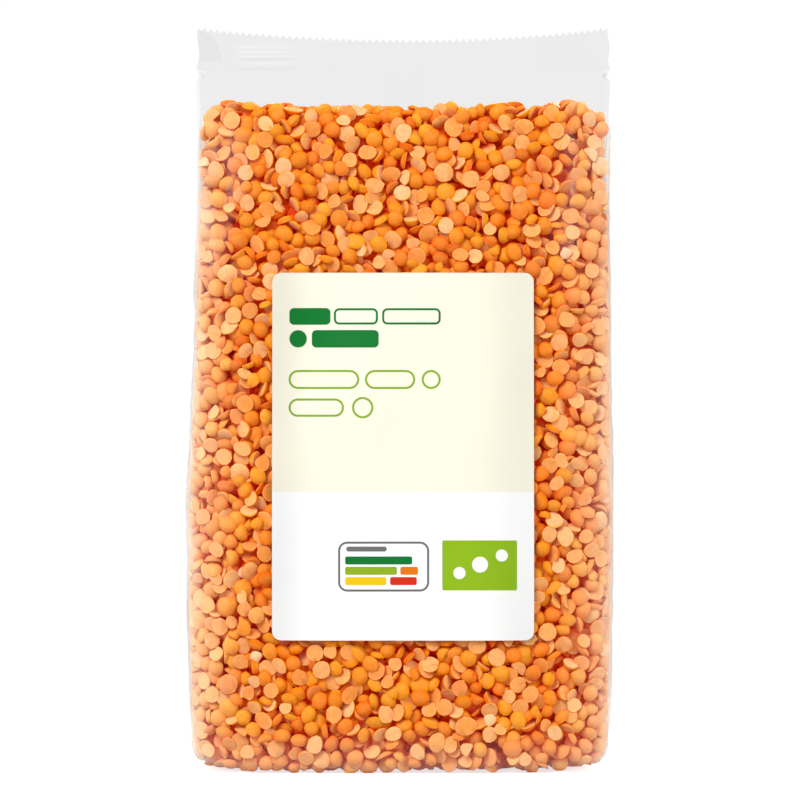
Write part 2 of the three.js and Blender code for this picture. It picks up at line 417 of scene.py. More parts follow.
def filmFinish(name, clear, haze=0.0, streaks=0.0, panels=False):
    look = filmLook
    material, tree, out = newMaterial(name)
    place = objectPlace(tree)
    facing = addNode(tree, "ShaderNodeLayerWeight", {"Blend": 0.5}).outputs["Facing"]
    x, _, z = axesOf(tree, place)
    roof = fade(tree, z, 1.0, look["roofVeil"], look["roofFrom"])
    turned = times(tree, maths(tree, "POWER", facing, look["edgePower"]), roof)
    mask = placeGroup(tree, creases, place, Scale=look["creaseScale"])
    creased = times(tree, times(tree, mask, turned), look["creaseHaze"])
    amount = maths(tree, "ADD", times(tree, turned, look["edge"]), creased)
    amount = maths(tree, "ADD", amount, times(tree, roof, haze), clamp=True)
    # Painted sheen: the film over the upper corners, where it hangs loose, is made milky in soft streaks
    # where its highlights fall, and the film at the foot a little milky too
    paintedSheen = fade(tree, maths(tree, "ABSOLUTE", x), 0.0, look["paintedShoulderSheen"], look["shoulderAcross"])
    upper = fade(tree, z, 0.0, 1.0, look["shoulderUp"])
    drift = stretchedNoise(tree, place, look["streakScale"], 2.0)
    drift = rampOf(tree, drift, *look["streakAmount"], *look["streakEdge"])
    paintedSheen = times(tree, times(tree, paintedSheen, upper), drift)
    footed = fade(tree, z, 0.0, 1.0, look["footFrom"])
    foot = times(tree, footed, look["paintedFootSheen"])
    paintedSheen = times(tree, maths(tree, "ADD", paintedSheen, foot), roof)
    amount = maths(tree, "ADD", amount, paintedSheen, clamp=True)
    # The level film under the bag has nothing white to show
    upright = axesOf(tree, addNode(tree, "ShaderNodeNewGeometry").outputs["Normal"])[2]
    upright = maths(tree, "ABSOLUTE", upright)
    amount = times(tree, amount, rampOf(tree, upright, 1.0, look["levelVeil"], *look["levelFrom"]))
    # The milkiness throws hardly any shadow on what is behind it
    shadow = addNode(tree, "ShaderNodeLightPath").outputs["Is Shadow Ray"]
    amount = times(tree, amount, rampOf(tree, shadow, 1.0, look["shadowShare"]))

    tint = (clear, clear, clear, 1)
    # The crimp's painted highlights and shade, as a lighter and darker tint
    if streaks:
        darkest, lightest = clear * (1 - streaks), min(clear * (1 + streaks), 1)
        tint = colourRamp(tree, paintedCrimpLight(tree, place), [(0.0, (darkest,) * 3), (1.0, (lightest,) * 3)])
    if panels:
        # The sides folded in below the seal are clear, so that four films don't darken what is behind them
        low = times(tree, footed, look["footClear"])
        plain = maths(tree, "MAXIMUM", maths(tree, "SUBTRACT", 1.0, attributeOf(tree, "panel")), low)
        tint = mixColours(tree, plain, tint, (1, 1, 1, 1))
    seen = addNode(tree, "ShaderNodeBsdfTransparent", {"Color": tint})
    shine = addNode(tree, "ShaderNodeBsdfPrincipled", {
        "Base Color": look["milk"], "Roughness": look["roughness"], "IOR": 1.5,
        "Specular IOR Level": look["shine"]})
    link(tree, mixShaders(tree, amount, seen.outputs[0], shine.outputs[0]), out.inputs["Surface"])
    return material


# Level bars of the crimp near the left end, with painted highlights where pressed and painted shade in the
# grooves between
crimp = {
    "bars": (188.3, 190.1, 191.3, 192.6), "grooves": (186.9, 189.4), "core": 0.2, "width": 0.45,
    "from": (-39.5, -38.5), "to": (-32, -20), "noise": (45.0, 1.0, 500.0), "ragged": 0.008, "uneven": 0.5,
}


def paintedCrimpLight(tree, place):
    # The bars as a value, with 0.5 for plain film
    x, _, z = axesOf(tree, place)
    noise = stretchedNoise(tree, place, crimp["noise"], 1.0)
    ragged = maths(tree, "ADD", times(tree, noise, crimp["ragged"]), x)
    starts, ends = fade(tree, ragged, 0.0, 1.0, crimp["from"]), fade(tree, ragged, 1.0, 0.0, crimp["to"])
    value = times(tree, maths(tree, "SUBTRACT", noise, 0.5), crimp["uneven"])
    for heights, sign in ((crimp["bars"], 1), (crimp["grooves"], -1)):
        for height in heights:
            away = maths(tree, "ABSOLUTE", maths(tree, "SUBTRACT", z, height * mm))
            bar = fade(tree, away, 0.5 * sign, 0.0, (crimp["core"], crimp["width"]))
            value = maths(tree, "ADD", value, bar)
    return maths(tree, "ADD", times(tree, value, times(tree, starts, ends)), 0.5, clamp=True)


# Split lentils: saturated domes with a painted highlight towards their tops, paler cut faces with a painted
# highlight along the rim, and a fine dusty grain
lentilLook = {
    "dome": [(0.0, (0.72, 0.155, 0.012)), (0.07, (0.82, 0.15, 0.002)), (0.3, (0.83, 0.198, 0.003)),
             (0.6, (0.84, 0.248, 0.004)), (0.8, (0.84, 0.29, 0.007)), (1.0, (0.84, 0.33, 0.012))],
    # Painted highlight towards the tops of the domes
    "paintedDomeHighlight": (0.85, 0.41, 0.085, 1), "paintedDomeHighlightAmount": 0.35,
    "cut": [(0.0, (0.78, 0.28, 0.085)), (0.07, (0.85, 0.32, 0.065)), (0.5, (0.87, 0.40, 0.122)),
            (0.85, (0.88, 0.455, 0.178)), (1.0, (0.88, 0.51, 0.24))],
    # Painted highlight along the rims of the cut faces
    "rim": (0.89, 0.58, 0.29, 1), "rimHighlightAmount": 0.5, "rimHighlightFrom": (0.78, 0.95),
    "cutFrom": (0.02, 0.05), "paintedDomeHighlightFrom": (0.3, 1.0), "chip": (0.93, 0.72, 0.48, 1),
    # Painted shade in the split of creased lentils
    "crease": (0.70, 0.13, 0.01, 1), "creaseAmount": 0.65, "creaseWidth": (0.01, 0.07),
    "creaseFrom": (-0.2, 0.3),
    # Painted sheen near the sides and painted shade near the foot
    "pale": (0.88, 0.62, 0.36, 1), "paleAmount": 0.38, "paleAcross": (39, 54),
    "foot": (0.60, 0.395, 0.17, 1), "footShadeAmount": 0.5, "footFrom": (15, 2),
    # Painted shade in the deeper lentils
    "deep": (0.62, 0.04, 0.001, 1), "paintedShadeFrom": 1.9, "deepest": 4.8, "paintedShadeAmount": 0.9, "outerShare": 1.2,
    # A painted red glow in the deeper lentils and at the foot
    "paintedRedGlow": (0.6, 0.01, 0.0, 1), "paintedRedGlowAmount": (0.06, 0.24), "paintedFootGlow": 0.2,
    "grain": ((0.93, 0.83, 0.68), (1.0, 1.0, 1.0), (1.04, 1.08, 1.16)), "roughness": (0.36, 0.52),
    "bump": 0.00004, "shine": 0.08, "glow": 0.3, "glowReach": (1.0, 0.22, 0.04), "glowScale": 0.0012,
}


def lentilFinish(name, creased=False, pale=0.0):
    look = lentilLook
    material, tree, out = newMaterial(name)
    place = objectPlace(tree)
    tone, depth = attributeOf(tree, "tone"), attributeOf(tree, "depth")
    x, y, z = axesOf(tree, attributeOf(tree, "spot", "Vector"))
    squares = (maths(tree, "POWER", v, 2.0) for v in (x, y))
    outwards = maths(tree, "SQRT", maths(tree, "ADD", *squares))
    cutFace = rampOf(tree, z, 1.0, 0.0, *look["cutFrom"])
    # Painted highlight: the domes are lighter towards their tops
    paintedTop = rampOf(tree, z, 0.0, look["paintedDomeHighlightAmount"], *look["paintedDomeHighlightFrom"])
    dome = mixColours(tree, paintedTop, colourRamp(tree, tone, look["dome"]), look["paintedDomeHighlight"])
    colour = mixColours(tree, cutFace, dome, colourRamp(tree, tone, look["cut"]))
    # Painted highlight: the cut faces are lighter along their rims
    rim = times(tree, rampOf(tree, outwards, 0.0, look["rimHighlightAmount"], *look["rimHighlightFrom"]), cutFace)
    colour = mixColours(tree, rim, colour, look["rim"])
    if creased:
        # A split along part of the cut face, drawn as a dark line of painted shade
        near = maths(tree, "ABSOLUTE", y)
        near = rampOf(tree, near, look["creaseAmount"], 0.0, *look["creaseWidth"])
        line = times(tree, near, rampOf(tree, x, 0.0, 1.0, *look["creaseFrom"]))
        colour = mixColours(tree, times(tree, line, cutFace), colour, look["crease"])
    speck = placeGroup(tree, mottle, place, Blotch_size=700.0, Speck_size=3200.0)
    dusty = colourRamp(tree, speck, list(zip((0.3, 0.52, 0.7), look["grain"])))
    colour = mixColours(tree, 1.0, colour, dusty, "MULTIPLY")
    if pale:
        colour = mixColours(tree, pale, colour, look["chip"])
    # Painted sheen and shade: lentils close to the sides are paler, as painted sheen of the film that turns
    # away there, and lentils near the foot are duller and darker
    across, _, up = axesOf(tree, place)
    across = maths(tree, "ABSOLUTE", across)
    sideSheen = fade(tree, across, 0.0, look["paleAmount"], look["paleAcross"])
    low = fade(tree, up, 0.0, look["footShadeAmount"], look["footFrom"])
    colour = mixColours(tree, sideSheen, colour, look["pale"])
    colour = mixColours(tree, low, colour, look["foot"])
    # Painted shade: the deeper lentils are tinted dark red, as the light that reaches them has gone red on
    # its way; least near the sides and the foot
    paintedRedShade = rampOf(tree, depth, 0.0, look["paintedShadeAmount"], look["paintedShadeFrom"], look["deepest"])
    outer = times(tree, maths(tree, "MAXIMUM", sideSheen, low), look["outerShare"])
    paintedRedShade = times(tree, paintedRedShade, maths(tree, "SUBTRACT", 1.0, outer))
    colour = mixColours(tree, paintedRedShade, colour, look["deep"])
    # Painted glow: a faint red emission in the deeper lentils and at the foot, standing in for light coming
    # through the heap
    paintedRedGlow = times(tree, low, look["paintedFootGlow"])
    paintedRedGlow = maths(tree, "ADD", rampOf(tree, paintedRedShade, *look["paintedRedGlowAmount"]), paintedRedGlow)
    values = {
        "IOR": 1.45, "Specular IOR Level": look["shine"], "Subsurface Weight": look["glow"],
        "Subsurface Radius": look["glowReach"], "Subsurface Scale": look["glowScale"],
        "Emission Color": look["paintedRedGlow"], "Emission Strength": paintedRedGlow,
        "Roughness": rampOf(tree, speck, *look["roughness"], *mottleSpan)}
    solidBody(tree, out, colour, speck, 0.6, look["bump"], values)
    return material


# Painted shade: the core is dark red, darker still between its cells
coreLook = {"cell": 240.0, "middle": (0.68, 0.075, 0.004), "gap": (0.5, 0.025, 0.001), "relief": 0.0008}


def coreFinish():
    material, tree, out = newMaterial("lentilCore")
    cells = {"Vector": objectPlace(tree), "Scale": coreLook["cell"]}
    distance = addNode(tree, "ShaderNodeTexVoronoi", cells).outputs["Distance"]
    colour = colourRamp(tree, distance, [(0.0, coreLook["middle"]), (0.8, coreLook["gap"])])
    values = {"Roughness": 0.7, "Specular IOR Level": 0.1}
    solidBody(tree, out, colour, distance, 1.0, coreLook["relief"], values, invert=True)
    return material


paperLook = {
    # Painted shade towards the left and right sides of the label
    "left": (-32.5, -21.5), "right": (17.0, 32.8), "leftShade": 0.84, "rightShade": 0.875,
    "grain": 0.015, "relief": 0.00004, "roughness": (0.37, 0.47),
}


def paperFinish(name, colour):
    # Coated label stock or the ink on it, with painted shade towards the left and right sides, where the
    # label bends away
    material, tree, out = newMaterial(name)
    place = objectPlace(tree)
    speck = placeGroup(tree, mottle, place, Blotch_size=90.0, Speck_size=2600.0)
    x = axesOf(tree, place)[0]
    left = fade(tree, x, paperLook["leftShade"], 1.0, paperLook["left"])
    right = fade(tree, x, 1.0, paperLook["rightShade"], paperLook["right"])
    shade = times(tree, rampOf(tree, speck, 1 - paperLook["grain"], 1.0, *mottleSpan), left)
    shade = {0: colour, "Scale": times(tree, shade, right)}
    tinted = addNode(tree, "ShaderNodeVectorMath", shade, operation="SCALE").outputs[0]
    sheen = rampOf(tree, speck, *paperLook["roughness"], *mottleSpan)
    values = {"IOR": 1.45, "Specular IOR Level": 0.2, "Roughness": sheen}
    solidBody(tree, out, tinted, speck, 0.25, paperLook["relief"], values)
    return material


# Studio: bright white surroundings, soft boxes left, right and above the camera, and a pale floor
studio = {
    "surround": 0.325, "backdrop": 1.02,
    "floorSize": 900, "floorCells": 12, "floorDrop": 0.05,
    "floorFade": (170, 430), "floorTone": 0.55, "floorGlow": 0.8,
    "boxes": [
        # name, position in millimetres, size, watts
        ("keyBox", (-480, -800, 880), 600, 15.8),
        ("fillBox", (760, -700, 420), 600, 3.4),
        ("leftEdge", (-900, -120, 260), 700, 4.1),
        ("rightEdge", (900, -120, 260), 700, 4.5),
        ("topBox", (0, 250, 900), 600, 2.5),
        ("backBox", (450, 850, 800), 600, 7.0),
    ],
}


def makeStudio():
    scene = bpy.context.scene
    scene.view_settings.view_transform = "Standard"
    scene.view_settings.look = "None"
    world = bpy.data.worlds.new("studio")
    world.use_nodes = True
    tree = world.node_tree
    tree.nodes.clear()
    out = addNode(tree, "ShaderNodeOutputWorld")
    sight = addNode(tree, "ShaderNodeLightPath").outputs["Is Camera Ray"]
    glows = [addNode(tree, "ShaderNodeBackground", {"Color": (1, 1, 1, 1), "Strength": studio[name]})
             for name in ("surround", "backdrop")]
    link(tree, mixShaders(tree, sight, *(glow.outputs[0] for glow in glows)), out.inputs["Surface"])
    scene.world = world
    for name, position, size, watts in studio["boxes"]:
        data = bpy.data.lights.new(name, "AREA")
        data.shape, data.size, data.energy = "SQUARE", size * mm, watts
        lamp = bpy.data.objects.new(name, data)
        lamp.location = [v * mm for v in position]
        towardsBag = Vector((0, 0, 100)) - Vector(position)
        lamp.rotation_euler = towardsBag.to_track_quat("-Z", "Y").to_euler()
        scene.collection.objects.link(lamp)


def makeFloor():
    half, cells = studio["floorSize"], studio["floorCells"]
    across = cells + 1
    spread = np.linspace(-half, half, across)
    x, y = np.meshgrid(spread, spread)
    points = np.column_stack([x.ravel(), y.ravel(), np.full(x.size, -studio["floorDrop"])])
    corners = [r * across + c for r in range(cells) for c in range(cells)]
    faces = [(a, a + 1, a + across + 1, a + across) for a in corners]
    floor = pieceFrom("floor", points, faces)
    material, tree, out = newMaterial("paleFloor")
    away = addNode(tree, "ShaderNodeVectorMath", {0: objectPlace(tree)}, operation="LENGTH")
    faded = fade(tree, away.outputs["Value"], 0.0, 1.0, studio["floorFade"])
    tone = studio["floorTone"]
    pale = addNode(tree, "ShaderNodeBsdfDiffuse", {"Color": (tone, tone, tone, 1)})
    seen = addNode(tree, "ShaderNodeLightPath").outputs["Is Camera Ray"]
    glow = addNode(tree, "ShaderNodeEmission", {"Strength": times(tree, seen, studio["floorGlow"])})
    lit = addNode(tree, "ShaderNodeAddShader", {0: pale.outputs[0], 1: glow.outputs[0]})
    clear = addNode(tree, "ShaderNodeBsdfTransparent")
    link(tree, mixShaders(tree, faded, lit.outputs[0], clear.outputs[0]), out.inputs["Surface"])
    floor.data.materials.append(material)


makeCamera()
makeStudio()
makeFloor()
print("camera, lights and floor are ready")

# Film round the lentils
film = {
    "halfColumns": 124, "footRows": 9, "wallRows": 118, "roofRows": 18,
    "pressHeight": 0.16, "pressSize": 6.5, "sagHeight": 0.22, "sagSize": 19, "sagDeepest": -0.1,
    "pleatHeight": 0.45, "pleatLength": 10.5, "pleatReach": 26, "pleatDeepest": -0.3,
    "pleatWander": 0.9, "wanderSize": 40, "heldFoot": (1, 12), "heldTop": (4, 0.5), "panelFrom": (0.6, 0.9),
}


def filmOffset(points):
    # How far the film stands off the smooth wall: pressed by lentils, slack between, pleated below the seal
    x, y, z = points[..., 0], points[..., 1], points[..., 2]
    top = [bag["sealFoot"] - below for below in film["heldTop"]]
    held = smoothstep(z, *film["heldFoot"]) * (1 - smoothstep(z, *top))
    pressed = film["pressHeight"] * np.abs(softNoise(x, y, z, film["pressSize"], 5))
    sagged = film["sagHeight"] * softNoise(x, y, z * 0.6, film["sagSize"], 6)
    up = smoothstep(z, bag["sealFoot"] - film["pleatReach"], bag["sealFoot"] - 5)
    wander = film["pleatWander"] * softNoise(x, y, z, film["wanderSize"], 8)
    pleats = film["pleatHeight"] * up * np.sin(2 * math.pi * x / film["pleatLength"] + wander + np.sign(y))
    sagged, pleats = np.maximum(sagged, film["sagDeepest"]), np.maximum(pleats, film["pleatDeepest"])
    return held * (pressed + sagged + pleats)


def filmRows():
    foot = bag["footRadius"] * (1 - np.cos(np.linspace(0, math.pi / 2, film["footRows"])))
    wall = np.linspace(bag["footRadius"], bag["shoulderHeight"], film["wallRows"])[1:]
    turn = np.linspace(0, math.pi / 2, film["roofRows"])[1:]
    roof = bag["shoulderHeight"] + (bag["sealFoot"] - bag["shoulderHeight"]) * np.sin(turn)
    return np.concatenate([foot, wall, roof])


def makeFilm(material):
    grid = np.array([ring(z, film["halfColumns"]) for z in filmRows()])
    outward = outwardOf(grid)
    panel = smoothstep(np.abs(grid[..., 1]) / halfDepth(grid[..., 2]), *film["panelFrom"])
    panel = np.maximum(panel, 1 - smoothstep(grid[..., 2], *filmLook["roofFrom"]))
    grid = grid + outward * filmOffset(grid)[..., None]
    rows, columns = grid.shape[:2]
    piece = pieceFrom("film", grid.reshape(-1, 3), tubeFaces(rows, columns))
    storeValues(piece, "panel", panel)
    finishPiece(piece, material, "bag")


def filmSheet(name, surface, lifts, material):
    # A thin piece of film between two distances in front of a surface
    x, y, z = surface
    sheet = [np.stack([x, y - lift, z], axis=2) for lift in lifts]
    finishPiece(platesFrom(name, [(*sheet, 0)]), material, "bag")


# Top seal with its pinked edge, and the folded gusset caught between its films
seal = {
    "thick": 0.26, "rows": 30, "perTooth": 4, "ribs": (188.3, 190.2, 192.4), "ribHeight": 0.16,
    "ribWidth": 0.38, "faintRib": 0.35, "ribFade": (-38, -24), "rippleHeight": 0.16, "rippleSize": 14,
    "leafInset": 0.4, "leafWidth": 19.5, "leafThick": 0.1, "drawnIn": 0.45, "raggedEnd": 0.3,
    "drawnFrom": (40, 55),
}


def sealSurface(across, columns):
    # The middle of the band: rows from its foot to the pinked edge
    up = np.linspace(0, 1, seal["rows"])[:, None]
    x = np.broadcast_to(across[None, :], (seal["rows"], len(across)))
    count = np.round((across + bag["sealHalfWidth"]) / (2 * bag["sealHalfWidth"]) * columns).astype(int)
    wave = np.abs((count % seal["perTooth"]) - seal["perTooth"] / 2) / (seal["perTooth"] / 2) - 0.5
    top = bag["topMiddle"] + bag["topRise"] * (x / bag["sealHalfWidth"]) ** 2
    z = lerp(bag["sealFoot"], top, up) + bag["tooth"] * wave[None, :] * smoothstep(up, 0.9, 1)
    bend = bag["sealWave"] * np.sin(2 * math.pi * x / bag["sealWaveLength"]) * smoothstep(up, 0.15, 1)
    strength = lerp(1, seal["faintRib"], smoothstep(x, *seal["ribFade"]))
    ribs = sum(np.exp(-(((z - height) / seal["ribWidth"]) ** 2)) for height in seal["ribs"])
    ripple = seal["rippleHeight"] * softNoise(x, 0, z * 0.5, seal["rippleSize"], 12)
    y = bend - ribs * strength * seal["ribHeight"] + ripple * smoothstep(up, 0, 0.2)
    drawn = seal["drawnIn"] + seal["raggedEnd"] * np.sin(up * 7 + np.sign(x))
    x = x - np.sign(x) * drawn * smoothstep(up, 0, 0.3) * smoothstep(np.abs(x), *seal["drawnFrom"])
    return x, y, z


def makeSeal(filmMaterial, leafMaterial):
    columns = bag["teeth"] * seal["perTooth"]
    across = np.linspace(-bag["sealHalfWidth"], bag["sealHalfWidth"], columns + 1)
    half, halfLeaf = seal["thick"] / 2, seal["leafThick"] / 2
    filmSheet("top_seal", sealSurface(across, columns), (half, -half), filmMaterial)
    reach = bag["sealHalfWidth"] - seal["leafInset"]
    for name, side in (("gusset_left", -1), ("gusset_right", 1)):
        part = across[(across * side <= reach) & (across * side >= reach - seal["leafWidth"])]
        filmSheet(name, sealSurface(part, columns), (halfLeaf, -halfLeaf), leafMaterial)


# The left corner of the seal, folded over to the front
fold = {
    "edge": ((188.9, -48.9), (190.5, -48.7), (193.2, -49.5), (195.4, -50.8), (197.0, -53.6)),
    "outer": -54.9, "lift": 0.32, "thick": 0.1, "rows": 24, "columns": 10, "curl": 0.25, "curlLength": 6,
    "bendReach": 8,
}


def makeCornerFold(material):
    heights, edge = zip(*fold["edge"])
    z = np.linspace(heights[0], heights[-1], fold["rows"])[:, None]
    x = lerp(fold["outer"], np.interp(z, heights, edge), np.linspace(0, 1, fold["columns"])[None, :])
    x, z = np.broadcast_arrays(x, z)
    rise = np.clip((z - bag["sealFoot"]) / fold["bendReach"], 0, 1)
    y = bag["sealWave"] * np.sin(2 * math.pi * x / bag["sealWaveLength"]) * rise - fold["lift"]
    y = y - fold["curl"] * ((x - fold["outer"]) / fold["curlLength"]) ** 2
    filmSheet("corner_fold", (x, y, z), (fold["thick"], 0), material)


# Back lap: the strip where the film is joined into a tube
lap = {
    "width": 11, "foot": 9, "lift": 0.28, "thick": 0.12, "rows": 110, "columns": 13, "uneven": 0.05,
    "unevenSize": 9,
}


def makeBackLap(material):
    z = np.linspace(lap["foot"], bag["sealFoot"], lap["rows"])[:, None]
    x = np.linspace(lap["width"] / 2, -lap["width"] / 2, lap["columns"])[None, :]
    x, z = np.broadcast_arrays(x, z)
    y = wallAt(x, z, -1)
    base = np.stack([x, y, z], axis=2)
    y = y + filmOffset(base) + lap["uneven"] * softNoise(x, 0, z, lap["unevenSize"], 21)
    filmSheet("back_lap", (x, y, z), (-lap["lift"], lap["thick"] - lap["lift"]), material)


# Lentils: share, radius and thickness in millimetres, then how oval, lopsided, nicked and chipped they are
kindParts = ("share", "radius", "thick", "outline", "chips")
lentilKinds = {name: {**dict(zip(kindParts, measures)), **traits} for name, *measures, traits in (
    ("split_plain", 0.14, 2.35, 1.45, (0.02, 0.02, 0.0), 0.02, {}),
    ("split_even", 0.13, 2.3, 1.6, (0.0, 0.03, 0.06), 0.015, {}),
    ("split_plump", 0.15, 2.25, 1.95, (0.03, 0.02, 0.0), 0.01, {}),
    ("split_broad", 0.12, 2.55, 1.5, (0.05, 0.02, 0.0), 0.03, {}),
    ("split_creased", 0.11, 2.4, 1.5, (0.03, 0.03, 0.14), 0.02, {"creased": True}),
    ("split_nicked", 0.1, 2.35, 1.4, (0.02, 0.04, 0.2), 0.035, {}),
    ("split_small", 0.11, 1.9, 1.3, (0.06, 0.04, 0.0), 0.03, {}),
    ("whole", 0.06, 2.15, 2.5, (0.02, 0.02, 0.0), 0.0, {"whole": True}),
    ("half_moon", 0.02, 2.2, 1.3, (0.02, 0.03, 0.0), 0.03, {"cut": 0.2}),
    ("pale_chip", 0.0012, 1.6, 0.8, (0.12, 0.1, 0.3), 0.06, {"cut": 0.85, "pale": True}),
)}
pour = {
    "segments": 12, "seedSpacing": 1.6, "seedJitter": 0.9, "candidates": 9, "step": 0.25, "deepest": 5.5,
    "voxel": 0.5, "margin": 0.45, "filmGap": 0.4, "roofGap": 0.2, "roofFrom": (150, 172), "floorGap": 0.15,
    "overlap": 0.12, "footOverlap": 0.04, "footHeight": 9, "sizeSpread": 0.08, "thickSpread": 0.14,
    "fillMiddle": 176.2, "fillRise": 1.5, "fillDrop": 3, "fillUneven": 0.7,
    "leaning": (0.52, 20, 0.87, 55), "towardsFront": 0.56, "upright": 0.3, "underLabel": 8, "seed": 41,
    "crateLow": (-64.0, -28.0, -8.0), "crateHigh": (64.0, 28.0, 188.0), "wayRound": 290,
    "levelAcross": 54, "levelDeep": 18, "levelEnd": 50, "footSeeds": 0.5, "footInset": 8,
    "fillEdge": (46, 54), "leanJitter": 5, "levelFrom": 0.98, "stretchLimits": (0.78, 1.25),
}


def lentilOutline(kind, angle, name):
    oval, lopsided, nick = kind["outline"]
    radius = 1 + oval * np.cos(2 * angle) + lopsided * np.cos(3 * angle + 1)
    radius = radius - nick * np.exp(-((angle / 0.3) ** 2))
    draw = np.random.default_rng(sum(map(ord, name)))
    radius = radius + draw.normal(0, 1, len(angle)) * kind["chips"]
    x, y = radius * np.cos(angle), radius * np.sin(angle)
    if "cut" in kind:
        x = np.maximum(x, -kind["cut"])
    return x, y


# Rings from the rim of the lower face to the shoulder of the dome, as (share out, share up)
splitProfile = ((0.93, 0.0), (1.0, 0.2), (0.72, 0.77))
wholeProfile = ((0.72, 0.16), (1.0, 0.5), (0.72, 0.84))


def makeLentil(name, kind):
    segments = pour["segments"]
    angle = np.linspace(-math.pi, math.pi, segments, endpoint=False)
    x, y = lentilOutline(kind, angle, name)
    centre = (x.mean(), y.mean())
    rings = [np.column_stack([lerp(centre[0], x, out), lerp(centre[1], y, out), np.full(segments, up)])
             for out, up in (wholeProfile if "whole" in kind else splitProfile)]
    points = np.concatenate([[(*centre, 0.0)], *rings, [(*centre, 1.0)]])
    faces = []
    for i in range(segments):
        j = (i + 1) % segments
        faces.append((0, 1 + j, 1 + i))
        for r in (0, 1):
            a, b = 1 + r * segments + i, 1 + r * segments + j
            faces.append((a, b, b + segments, a + segments))
        faces.append((1 + 2 * segments + i, 1 + 2 * segments + j, 1 + 3 * segments))
    spot = points.copy()
    if "whole" in kind:
        spot[:, 2] += 1  # no cut face
    points = points * (kind["radius"], kind["radius"], kind["thick"])
    points[:, 2] -= kind["thick"] / 2
    lentil = pieceFrom(name + "_shape", points, faces)
    storeVectors(lentil, "spot", spot)
    lentil.data.set_sharp_from_angle(angle=math.radians(60))
    return lentil


def lentilSamples(kind):
    # Points all through one lentil, to test where it fits
    step = pour["voxel"]
    r, t = kind["radius"], kind["thick"]
    span = np.arange(-r, r + step, step)
    x, y, z = np.meshgrid(span, span, np.arange(0, t, step))
    x, y, z = x.ravel(), y.ravel(), z.ravel() + 0.1
    out = np.hypot(x, y) / r
    height = 0.2 + 0.8 * np.sqrt(np.clip(1 - out ** 2, 0, 1))
    inside = (out < 1) & (z / t < height)
    if "whole" in kind:
        inside = (out < 1) & (np.abs(z / t - 0.5) < height / 2)
    if "cut" in kind:
        inside &= x > -kind["cut"] * r
    return np.column_stack([x, y, z - t / 2])[inside]


def fillHeight(x, y):
    rise = pour["fillRise"] * (x / 50) ** 2 - pour["fillDrop"] * smoothstep(np.abs(x), *pour["fillEdge"])
    return pour["fillMiddle"] + rise + pour["fillUneven"] * softNoise(x, y, 0, 9, 31)


def makeCrate():
    # A grid over the bag that says which places are taken, with all that is outside the film taken
    low = np.array(pour["crateLow"])
    size = np.ceil((pour["crateHigh"] - low) / pour["voxel"]).astype(int)
    x, y, z = (low[k] + (np.arange(size[k]) + 0.5) * pour["voxel"] for k in range(3))
    taken = np.ones(size, np.uint8)
    x, y = x[:, None], y[None, :]
    side = -np.sign(y)
    for k, height in enumerate(z):
        if not 0 < height < bag["sealFoot"] - 4:
            continue
        margin = pour["margin"] + pour["roofGap"] * smoothstep(height, *pour["roofFrom"])
        deep = halfDepth(height) - footInset(height) * bag["footDepthShare"] - margin
        facing = np.clip(np.abs(y) / (halfDepth(height) / 2), 0, 1)
        forward = (np.abs(y) - lumps(x, height, side) * facing) / deep
        reach = sideReach(height, np.clip(forward, 0, 1)) - margin
        lifted = height - footLift(x, height) > pour["floorGap"]
        free = (forward < 1) & (np.abs(x) < reach) & (height < fillHeight(x, y)) & lifted
        taken[:, :, k] = ~free
    return low, taken


def makeSeeds(draw):
    # Places all over the skin of the heap where a lentil is tried, with the direction outwards
    spacing = pour["seedSpacing"]
    rows = np.arange(1.0, pour["fillMiddle"] + 1, spacing)
    grid = np.array([ring(z, int(pour["wayRound"] / spacing / 2)) for z in rows])
    places, outward = [grid.reshape(-1, 3)], [outwardOf(grid).reshape(-1, 3)]
    across, deep = (np.arange(-pour[name], pour[name], spacing) for name in ("levelAcross", "levelDeep"))
    x, y = (v.ravel() for v in np.meshgrid(across, deep))
    for z, inset, direction in ((fillHeight(x, y), 0, 1),
                                (pour["footSeeds"] + footLift(x, 0), pour["footInset"], -1)):
        inside = (np.abs(y) < halfDepth(z) - inset) & (np.abs(x) < pour["levelEnd"])
        places.append(np.column_stack([x, y, z])[inside])
        outward.append(np.tile([0.0, 0.0, direction], (inside.sum(), 1)))
    places, outward = np.concatenate(places), np.concatenate(outward)
    reach = pour["underLabel"]
    hidden = (places[:, 1] < 0) & (outward[:, 1] < -0.8)
    hidden &= np.abs(places[:, 0] - label["middleX"]) < label["width"] / 2 - reach
    hidden &= np.abs(places[:, 2] - label["middleZ"]) < label["height"] / 2 - reach
    places, outward = places[~hidden], outward[~hidden]
    order = draw.permutation(len(places))
    return places[order], outward[order]


